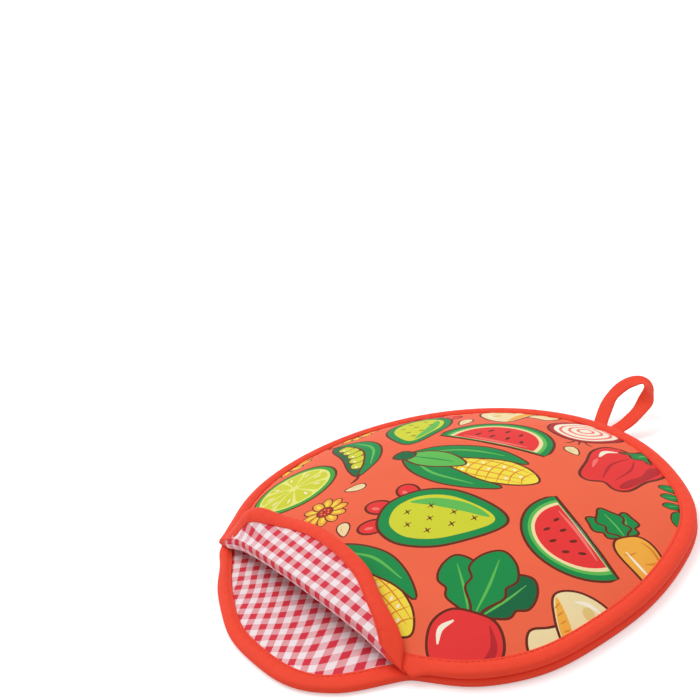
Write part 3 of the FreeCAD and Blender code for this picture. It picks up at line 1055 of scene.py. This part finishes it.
class WARMER_OT_lip(bpy.types.Operator):
    """Upper lip: folded back on the dome with its lining outwards"""
    bl_idname = "warmer.lip"
    bl_label = "Lip"
    bl_options = {"REGISTER", "UNDO"}

    GATHERS = (1.0, -80, 15), (0.5, 82, 10)    # height, middle and width where the lip's ends are drawn in
    ROLL_END = 2.6       # length over which the roll's two ends round off
    LINING_END = 86.0    # beyond this the fold is bound

    def execute(self, context):
        form = Form()
        edge, lies_on = form.lip_edge, ["flap_batting_fill_middle"]
        shapes = print_shapes(edge)
        verts, faces, middles = panel(border(form, edge, form.tape - CLOTH_UNDER, 0.0), 3.0, shapes)
        x, y = verts.T
        h = 0.5 * np.exp(-np.clip(edge.depth(x, y)[0] - 8, 0, None) / 5)
        lip_pieces("flap_cover_cloth", "printed_cover", form.lip(x, y, h), faces, verts, "flap_cover",
                   inks=ink_faces(middles, shapes), rests_on=lies_on)

        verts, faces, _ = panel(border(form, edge, form.tape - CLOTH_UNDER, form.ply), 2.5)
        x, y = verts.T
        plan_y = y - form.fold_y(x, form.ply + form.lift) + form.fold_y(x, 0) - form.girth
        lip_pieces("flap_lining_cloth", "checked_lining",
                   form.lip(x, y, form.ply + self.lining_height(form, x, y)), faces[:, ::-1],
                   np.stack([x, plan_y], -1), "flap_lining", rests_on=lies_on)

        verts, faces, _ = panel(border(form, edge, form.tape - FILL_UNDER, 2.5), 3.5)
        x, y = verts.T
        high = np.maximum(form.ply + self.lining_height(form, x, y) - 0.9, 1.5)
        block = slab(verts, faces, form.lip(x, y - 0.3, high), form.lip(x, y - 0.3, 0.9))
        for piece in lip_pieces("flap_batting_fill", "batting", *block, "flap_batting"):
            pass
        self.make_roll(form)
        self.make_hems(form, shapes, lies_on)
        return {"FINISHED"}

    def gathers(self, x):
        return ripple(x, 5.1, 7.5) * hills(x, self.GATHERS)

    def lining_height(self, form, x, y):
        behind = form.fold_y(x, form.ply + form.lift) - y
        loose = 0.25 * ripple(x, 0.4, 23.0) * np.exp(-behind / 12)
        pleats = self.gathers(x + 0.25 * behind) * np.exp(-behind / 15)
        return (cover_height(form, x, y, form.lip_edge, 0.9) + loose) * ease(behind / 9) + pleats

    def make_roll(self, form):
        """Lining that goes round the fold, with the bound edge at its two ends."""
        end, tip = form.lip_edge.points[form.lip_edge.right][0] - 0.5, self.ROLL_END
        x = np.concatenate([-end + tip * (1 - np.cos(np.linspace(0, math.pi / 2, 12))),
                            np.linspace(-end + tip, end - tip, 150)[1:-1],
                            end - tip * (1 - np.cos(np.linspace(math.pi / 2, 0, 12)))])
        gx, gt = np.meshgrid(x, np.linspace(0, 1, 17), indexing="ij")
        reach = form.crease - form.sphere
        rounding = np.sqrt(np.clip(1 - np.clip((np.abs(gx) - end + tip) / tip, 0, 1) ** 2, 0.0004, 1))
        swell = (reach + 0.4 * ease((np.abs(gx) - 84) / 8)) * rounding - reach
        swell = swell + (0.3 * ripple(gx, 2.2, 19.0) - 0.3) * np.sin(gt * math.pi) * rounding
        swell = swell + self.gathers(gx) * ease(gt * 1.6) * rounding
        points = form.settle(form.roll(gx, gt, swell)).reshape(-1, 3)
        plan = np.stack([gx, form.fold_y(gx, 0) - gt * form.girth], -1).reshape(-1, 2)
        bound = self.LINING_END
        parts = (("fold_lining_left", -bound, -LIP_FREE), ("fold_lining_middle", -LIP_FREE, LIP_FREE),
                 ("fold_lining_right", LIP_FREE, bound), ("fold_binding_left", -FAR, -bound),
                 ("fold_binding_right", bound, FAR))
        faces = grid_faces(*gx.shape)[:, ::-1]
        for name, _, used, index, normals in cut_across(points, faces, points[:, 0], parts):
            slot = "checked_lining" if "lining" in name else "binding_tape"
            piece = add_mesh(name, points[used], index, FINISHES[slot](), plan[used], normals=normals)
            start, end = self.bend_line(form, name.endswith("right") - name.endswith("left"))
            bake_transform(piece)
            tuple(start)
            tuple(end)
            if slot == "checked_lining":
                declare_cloth(piece, "folded", "top_lining_cloth")

    @staticmethod
    def make_hems(form, shapes, lies_on):
        """Printed cloth turned in along the fold: it hides the batting's edge when the lip is unfolded."""
        def hem(gx, gh, gap, way):
            """Mesh of a strip gap in front of the fold, its plan, and its inks, which are the fold's own."""
            fold = form.fold_y(gx, 0)
            faces = grid_faces(*gx.shape)
            inks = ink_faces(np.stack([gx, fold], -1).reshape(-1, 2)[faces].mean(1), shapes)
            points = form.lip(gx, form.fold_y(gx, gh + form.lift) - gap, gh).reshape(-1, 3)
            return (points, faces, np.stack([gx, fold + way * gh], -1).reshape(-1, 2)), inks

        across, up = np.linspace(-HEM_END, HEM_END, 121), np.linspace(0.05, form.ply - 1.0, 5)
        strip, inks = hem(*np.meshgrid(across, up, indexing="ij"), 0.12, 1)
        lip_pieces("flap_hem", "printed_cover", *strip, inks=inks, rests_on=lies_on)
        for name, side in (("top_hem_left", -1), ("top_hem_right", 1)):
            gx, share = np.meshgrid(side * np.linspace(46, HEM_END, 40), np.linspace(0, 1, 4), indexing="ij")
            high = np.minimum(form.ply - 1.3, gx ** 2 / form.crease - 4.4)    # the closed lip is above this
            strip, inks = hem(gx, 0.05 + share * high, 0.05, -1)
            declare_cloth(sew(name, "printed_cover", *strip, inks=inks), "folded", "top_batting_fill")

    @staticmethod
    def bend_line(form, side):
        """Start and end of the fold's bend: up through the stack, and at the sides to the middle as well."""
        reach = form.crease - form.sphere
        low, high = -reach - 1.1, reach - 1.1
        if side == 0:
            return tuple((form.axis + form.up * low) * MM), tuple((form.axis + form.up * high) * MM)
        across, skew = LIP_HELD - LIP_FREE, 0.16
        slope = np.array([-side * (1 / across - skew / (high - low)), 0, 0]) + form.up / (high - low)
        start = np.array([side * LIP_HELD, *form.axis[1:]]) + form.up * (high - skew * across)
        return tuple(start * MM), tuple((start + slope / (slope @ slope)) * MM)


# ---------------------------------------------------------------- binding tape and thread

# One stitch: its place along the pitch, its thickness in threads and its height above the cloth
STITCH = (0.06, 0.4, -0.3), (0.2, 1, 0.05), (0.45, 1.1, 0.12), (0.7, 1, 0.05), (0.84, 0.4, -0.3)


def tape_section(form, crown_low, crown_high):
    """Section of the folded tape as distances in from the edge and heights; crowns are per station."""
    t, w = form.ply, form.tape
    face = [(w, 0.15, 0), (w - 0.1, 0.5, .1), (w - 0.6, 0.55, .3), (w - 1.2, 0.12, .2), (w - 2.2, 0.4, .6),
            (w - 4, 0.5, 1), (4, 0.35, 1), (2.6, 0.05, .6)]
    rows = [(w, t - 0.9)]
    rows += [(d, t + up * (0.3 + 0.7 * crown_high) + 0.35 * crown * crown_high) for d, up, crown in face]
    rows += [(2.3 - 2.3 * math.cos(a), t / 2 + (t / 2 - 0.02) * math.sin(a))
             for a in np.radians([68, 48, 28, 9, -9, -28, -48, -68])]
    rows += [(d, -up * crown_low * 0.7) for d, up, _ in face[::-1]]
    rows.append((w, 0.9))
    return [np.stack([row[k] + 0 * crown_high for row in rows], -1) for k in (0, 1)]


def edge_frame(edge, where, ends=False):
    """Points along part of an edge, the way in from each, and the distance run; ends lie along the fold."""
    at, inward, tangent = edge.points[where], edge.inward[where], edge.tangent[where]
    run = run_along(at)
    if ends:
        level = np.clip(-inward[:, 1] / np.where(np.abs(tangent[:, 1]) < 0.05, 0.05, tangent[:, 1]), -2, 2)
        lean = level * (ease(1 - run / 26) + ease(1 - (run[-1] - run) / 26))
        inward = inward + tangent * lean[:, None]
    return at, inward, run


def sweep_tape(form, edge, where, put, crown_low, crown_high, seed, ends=False):
    """Tape along part of an edge: its points, faces, plan, sides round it and the distance run."""
    at, off, run = edge_frame(edge, where, ends)
    crown_low, crown_high = crown_low + 0 * run, crown_high + 0 * run
    d, h = tape_section(form, crown_low, crown_high)
    pucker = 0.24 * ripple(run, seed, 9.0)[:, None] * np.exp(-((d - 5.5) / 2.5) ** 2)
    h = h + pucker * np.where(h > form.ply / 2, (0.25 + crown_high)[:, None], -crown_low[:, None])
    x = at[:, None, 0] + off[:, None, 0] * d
    y = at[:, None, 1] + off[:, None, 1] * d
    round_it = np.cumsum(np.hypot(np.diff(d, axis=1), np.diff(h, axis=1)), 1)
    round_it = np.concatenate([np.zeros((len(run), 1)), round_it], 1)
    plan = np.stack([np.repeat(run[:, None], d.shape[1], 1), round_it], -1)
    return put(x, y, h).reshape(-1, 3), grid_faces(*d.shape), plan.reshape(-1, 2), d.shape[1], run[-1]


def stitch_row(length, put, side=1):
    """Row of lock stitches; put gives the points for places along it, across it and above the cloth."""
    pitch, r = sizes().stitch * 1000, sizes().thread * 500
    places, thicks, heights = np.array(STITCH).T[..., None]
    starts = np.arange(0.6, length - pitch, pitch)
    along = starts[:, None, None] + pitch * places + np.zeros(6)
    around = np.radians(np.arange(0, 360, 60))
    thick = r * thicks
    points = put(along, thick * np.cos(around), side * heights + thick * np.sin(around))
    faces = grid_faces(5, 6, wrap=True)[None] + (np.arange(len(starts)) * 30)[:, None, None]
    plan = np.stack([along, r * around + 0 * along], -1)
    return points.reshape(-1, 3), faces.reshape(-1, 4), plan.reshape(-1, 2)


def edge_stitches(edge, where, put, depth, height, side, ends=False):
    """Row of stitches that follows an edge; also gives each point's place across the mouth."""
    at, off, run = edge_frame(edge, where, ends)

    def place_on(along, across, above):
        x, y, dx, dy = (np.interp(along, run, column) for column in (*at.T, *off.T))
        return put(x + dx * (depth + across), y + dy * (depth + across), height + above)

    made = stitch_row(run[-1], place_on, side)
    return made, np.interp(made[2][:, 0], run, at[:, 0])


class WARMER_OT_bindings(bpy.types.Operator):
    """Folded tape sewn round the edges of the base, the top and the lip"""
    bl_idname = "warmer.bindings"
    bl_label = "Bindings"
    bl_options = {"REGISTER", "UNDO"}

    def execute(self, context):
        form = Form()
        edge = form.base_edge
        ring = edge.stretch(edge.left, edge.left - 1)[::3]
        at_lip = ease((form.corner[1] - edge.points[ring, 1]) / 12)
        points, faces, plan, sides, _ = sweep_tape(form, edge, ring, form.base, 0, at_lip, 0.3)
        side, last = np.arange(sides - 1), (len(ring) - 1) * sides
        joint = np.stack([last + side, last + side + 1, side + 1, side], -1)
        piece = sew("base_binding_tape", "binding_tape", points, np.concatenate([faces, joint])[:, ::-1], plan,
                    "base_binding")

        def above_fold(x, y, h):
            return form.dome(x, np.maximum(y - 3.5 * ease((-y - 99) / 6), form.fold_y(x, h)), h)

        behind = edge.stretch(edge.right, edge.left)[::3]
        points, faces, plan, _, long = sweep_tape(form, edge, behind, above_fold, 0, 1, 1.9, ends=True)
        piece = sew("top_binding_tape", "binding_tape", points, faces[:, ::-1], plan, "top_binding")

        edge = form.lip_edge
        front = edge.stretch(edge.left, edge.right)[::3]
        points, faces, plan, sides, _ = sweep_tape(form, edge, front, form.lip, 0.3, 1, 3.1, ends=True)
        lip_pieces("flap_binding_tape", "binding_tape", points, faces, plan, "flap_binding",
                   reach=np.repeat(edge.points[front, 0], sides), rests_on=[])
        return {"FINISHED"}


class WARMER_OT_stitches(bpy.types.Operator):
    """Lock stitches that hold down the binding tape"""
    bl_idname = "warmer.stitches"
    bl_label = "Stitches"
    bl_options = {"REGISTER", "UNDO"}

    def execute(self, context):
        form = Form()
        base, lip, inset = form.base_edge, form.lip_edge, form.tape - 1.2
        ring = base.stretch(base.left, base.left - 1)
        mouth = base.stretch(base.left + 24, base.right - 24)
        behind = base.stretch(base.right, base.left)
        over, under = (form.ply + 0.24, 1), (0.08, -1)    # height and side of the cloth
        for name, where, put, face, ends in (("base_under_stitches", ring, form.base, under, False),
                                             ("base_lip_stitches", mouth, form.base, over, False),
                                             ("top_stitches", behind, form.dome, over, True)):
            made, _ = edge_stitches(base, where, put, inset, *face, ends)
            sew(name, "binding_tape", *made, material=sewing_thread())
        where = lip.stretch(lip.left, lip.right)
        for name, face in (("lip_stitches", over), ("lip_under_stitches", (-0.06, -1))):
            made, x = edge_stitches(lip, where, form.lip, inset, *face, True)
            lip_pieces(name, "binding_tape", *made, material=sewing_thread(), reach=x)
        return {"FINISHED"}


class WARMER_OT_loop(bpy.types.Operator):
    """Hanging loop of folded tape, with its two tails sewn into the seam"""
    bl_idname = "warmer.loop"
    bl_label = "Hanging loop"
    bl_options = {"REGISTER", "UNDO"}

    THICK = 1.2
    TILT = math.radians(27)
    TAIL = 12.0          # length at each end that lies flat
    PATH = ((-6.25, -11), (-6.25, -5), (-6.6, 0), (-10, 9), (-13.9, 22), (-13.2, 32), (-9.8, 39.5),
            (-4.5, 43.6), (2, 44.4), (7.5, 42.3), (11.6, 37), (13.8, 29), (14, 20), (12, 10), (7.6, 0),
            (6.25, -5), (6.25, -11))
    CREASE = 77.0        # where the tape stands on edge, counted along it

    def execute(self, context):
        form = Form()
        line = smooth_line(self.PATH, 10)
        run = run_along(line)
        long = run[-1]
        even = np.linspace(0, long, 190)
        line = np.stack([np.interp(even, run, line[:, k]) for k in (0, 1)] + [0 * even], -1)
        along = np.gradient(line, axis=0)
        along /= np.linalg.norm(along, axis=1)[:, None]
        free = ease((even - self.TAIL) / 8) * ease((long - self.TAIL - even) / 8)
        twist = (math.radians(79) * bump(even, self.CREASE, 11)
                 + math.radians(7) * ripple(even, 0.4, 31.0) * free)[:, None]
        across = np.stack([along[:, 1], -along[:, 0], 0 * even], -1)
        wide = across * np.cos(twist) + np.array([0, 0, 1]) * np.sin(twist)
        frames = np.concatenate([line, wide, np.cross(along, wide)], 1)
        root = np.array([0, form.radius + 0.3 + self.THICK / 2, form.ply + self.THICK / 2])
        tilt = np.array(Matrix.Rotation(self.TILT, 3, "X"))

        def put(place_at, u, v):
            at = np.stack([np.interp(place_at, even, column) for column in frames.T], -1)
            flat = at[..., :3] + at[..., 3:6] * u[..., None] + at[..., 6:] * v[..., None]
            share = ease((flat[..., 1:2] + 1.5) / 3)
            return flat * (1 - share) + flat @ tilt.T * share + root

        def add(name, points, faces, plan, material):
            piece = add_mesh(name, points, faces, material, plan)
            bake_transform(piece)
            return piece

        width = sizes().loop_width * 1000
        w, t = width / 2, self.THICK / 2
        section = [(w, 0), (w - .12, .7 * t), (w - .5, t), (w - 1.1, .72 * t), (w - 1.7, .95 * t),
                   (w / 3, .9 * t), (0, .92 * t)]
        section += [(-u, v) for u, v in section[:-1][::-1]]
        section += [(u, -v) for u, v in section[1:-1][::-1]]
        u, v = np.array(section).T
        gs, gu = np.meshgrid(even, u, indexing="ij")
        points = put(gs, gu, v * (1 + 0.12 * ripple(even, 0.9, 6.0)[:, None]))
        piece = add("hanging_loop_tape", points.reshape(-1, 3), grid_faces(*gs.shape, wrap=True),
                    np.stack([gs, gu], -1).reshape(-1, 2), binding_tape())
        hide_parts("hanging_loop", "loop_tails")
        for name, side in (("loop_stitches", 1), ("loop_under_stitches", -1)):
            def on_face(place_at, across, above):
                return put(place_at + 13, w - 1.1 + across, side * 0.3 + above)

            add(name, *stitch_row(long - 26, on_face, side), sewing_thread())
        return {"FINISHED"}


# ---------------------------------------------------------------- stage

class WARMER_OT_stage(bpy.types.Operator):
    """Pale table, soft lamps and the camera"""
    bl_idname = "warmer.stage"
    bl_label = "Stage"
    bl_options = {"REGISTER", "UNDO"}

    CAMERA_AT = 0.50758, -0.34769, 0.38617
    CAMERA_TURN = 58.92, 22.14, -11.68    # azimuth, elevation and tip, in degrees
    CAMERA_LENS = 56.947

    def execute(self, context):
        scene = context.scene
        scene.view_settings.view_transform = "Standard"
        bpy.ops.mesh.primitive_plane_add(size=30)
        floor = context.object
        floor.name = "table"
        floor.location.z = -0.0004
        floor.data.materials.append(self.floor_material())
        self.light_world(scene)
        self.add_lamp("key", "SUN", (-0.98, -0.18, 1.7), 1.35).angle = math.radians(40.0)
        self.add_lamp("fill", "AREA", (0.7, 1.0, 0.8), 2.5).size = 1.2
        data = bpy.data.cameras.new("camera")
        camera = bpy.data.objects.new("camera", data)
        scene.collection.objects.link(camera)
        data.sensor_width = 36
        data.lens = self.CAMERA_LENS
        data.clip_start = 0.01
        azimuth, elevation, tip = (math.radians(v) for v in self.CAMERA_TURN)
        back = Vector((math.sin(azimuth) * math.cos(elevation), -math.cos(azimuth) * math.cos(elevation),
                       math.sin(elevation)))
        right = (-back).cross(Vector((0, 0, 1))).normalized()
        up = right.cross(-back)
        turned = Matrix((right * math.cos(tip) + up * math.sin(tip),
                         up * math.cos(tip) - right * math.sin(tip), back))
        camera.matrix_world = Matrix.Translation(self.CAMERA_AT) @ turned.transposed().to_4x4()
        scene.camera = camera
        return {"FINISHED"}

    @staticmethod
    def direct_rays(tree):
        """1 where the eye, a mirror or a glass sees a surface directly."""
        path = tree.nodes.new("ShaderNodeLightPath").outputs
        seen = maths(tree, "MAXIMUM", path["Is Camera Ray"], path["Is Glossy Ray"])
        return maths(tree, "MAXIMUM", seen, path["Is Transmission Ray"])

    def floor_material(self):
        material = bpy.data.materials.new("Pale table")
        material.use_nodes = True
        tree = material.node_tree
        shader = tree.nodes["Principled BSDF"]
        speckle = noise(tree, tree.nodes.new("ShaderNodeTexCoord").outputs["Object"], 60.0)
        shade = blend_colours(tree, speckle, (0.8, 0.8, 0.8, 1), (0.84, 0.84, 0.84, 1))
        for label, value in (("Base Color", shade), ("Roughness", 0.9), ("Specular IOR Level", 0.1)):
            feed(shader.inputs[label], value)
        glow = add_node(tree, "Emission", Strength=maths(tree, "MULTIPLY", self.direct_rays(tree), 0.42))
        total = add_node(tree, "AddShader", shader.outputs[0], glow.outputs[0])
        feed(tree.nodes["Material Output"].inputs["Surface"], total.outputs[0])
        return material

    def light_world(self, scene):
        scene.world = bpy.data.worlds.new("room light")
        scene.world.use_nodes = True
        tree = scene.world.node_tree
        background = tree.nodes["Background"].inputs
        feed(background["Color"], (1, 1, 1, 1))
        shown = maths(tree, "MULTIPLY", self.direct_rays(tree), 0.45)
        feed(background["Strength"], maths(tree, "ADD", shown, 0.55))

    @staticmethod
    def add_lamp(name, kind, place_at, power):
        data = bpy.data.lights.new(name, kind)
        data.energy = power
        lamp = bpy.data.objects.new(name, data)
        bpy.context.scene.collection.objects.link(lamp)
        lamp.location = place_at
        lamp.rotation_euler = (-Vector(place_at)).to_track_quat("-Z", "Y").to_euler()
        return data


class WARMER_PT_panel(bpy.types.Panel):
    """Sizes, colours and pieces of the tortilla warmer"""
    bl_idname = "WARMER_PT_panel"
    bl_label = "Tortilla warmer"
    bl_space_type = "VIEW_3D"
    bl_region_type = "UI"
    bl_category = "Warmer"

    def draw(self, context):
        for settings in (context.scene.warmer_sizes, context.scene.warmer_colours):
            box = self.layout.box()
            for name in settings.__annotations__:
                box.prop(settings, name)
        for operator in OPERATORS:
            self.layout.operator(operator.bl_idname)


OPERATORS = (WARMER_OT_base, WARMER_OT_top, WARMER_OT_lip, WARMER_OT_bindings, WARMER_OT_stitches,
             WARMER_OT_loop, WARMER_OT_stage)
CLASSES = (WarmerSizes, WarmerColours, *OPERATORS, WARMER_PT_panel)


def register():
    for cls in CLASSES:
        bpy.utils.register_class(cls)
    bpy.types.Scene.warmer_sizes = PointerProperty(type=WarmerSizes)
    bpy.types.Scene.warmer_colours = PointerProperty(type=WarmerColours)


def unregister():
    del bpy.types.Scene.warmer_colours
    del bpy.types.Scene.warmer_sizes
    for cls in reversed(CLASSES):
        bpy.utils.unregister_class(cls)


def main():
    register()
    bpy.ops.warmer.base()
    bpy.ops.warmer.top()
    bpy.ops.warmer.lip()
    bpy.ops.warmer.bindings()
    bpy.ops.warmer.stitches()
    bpy.ops.warmer.loop()
    bpy.ops.warmer.stage()


if __name__ == "__main__":
    main()
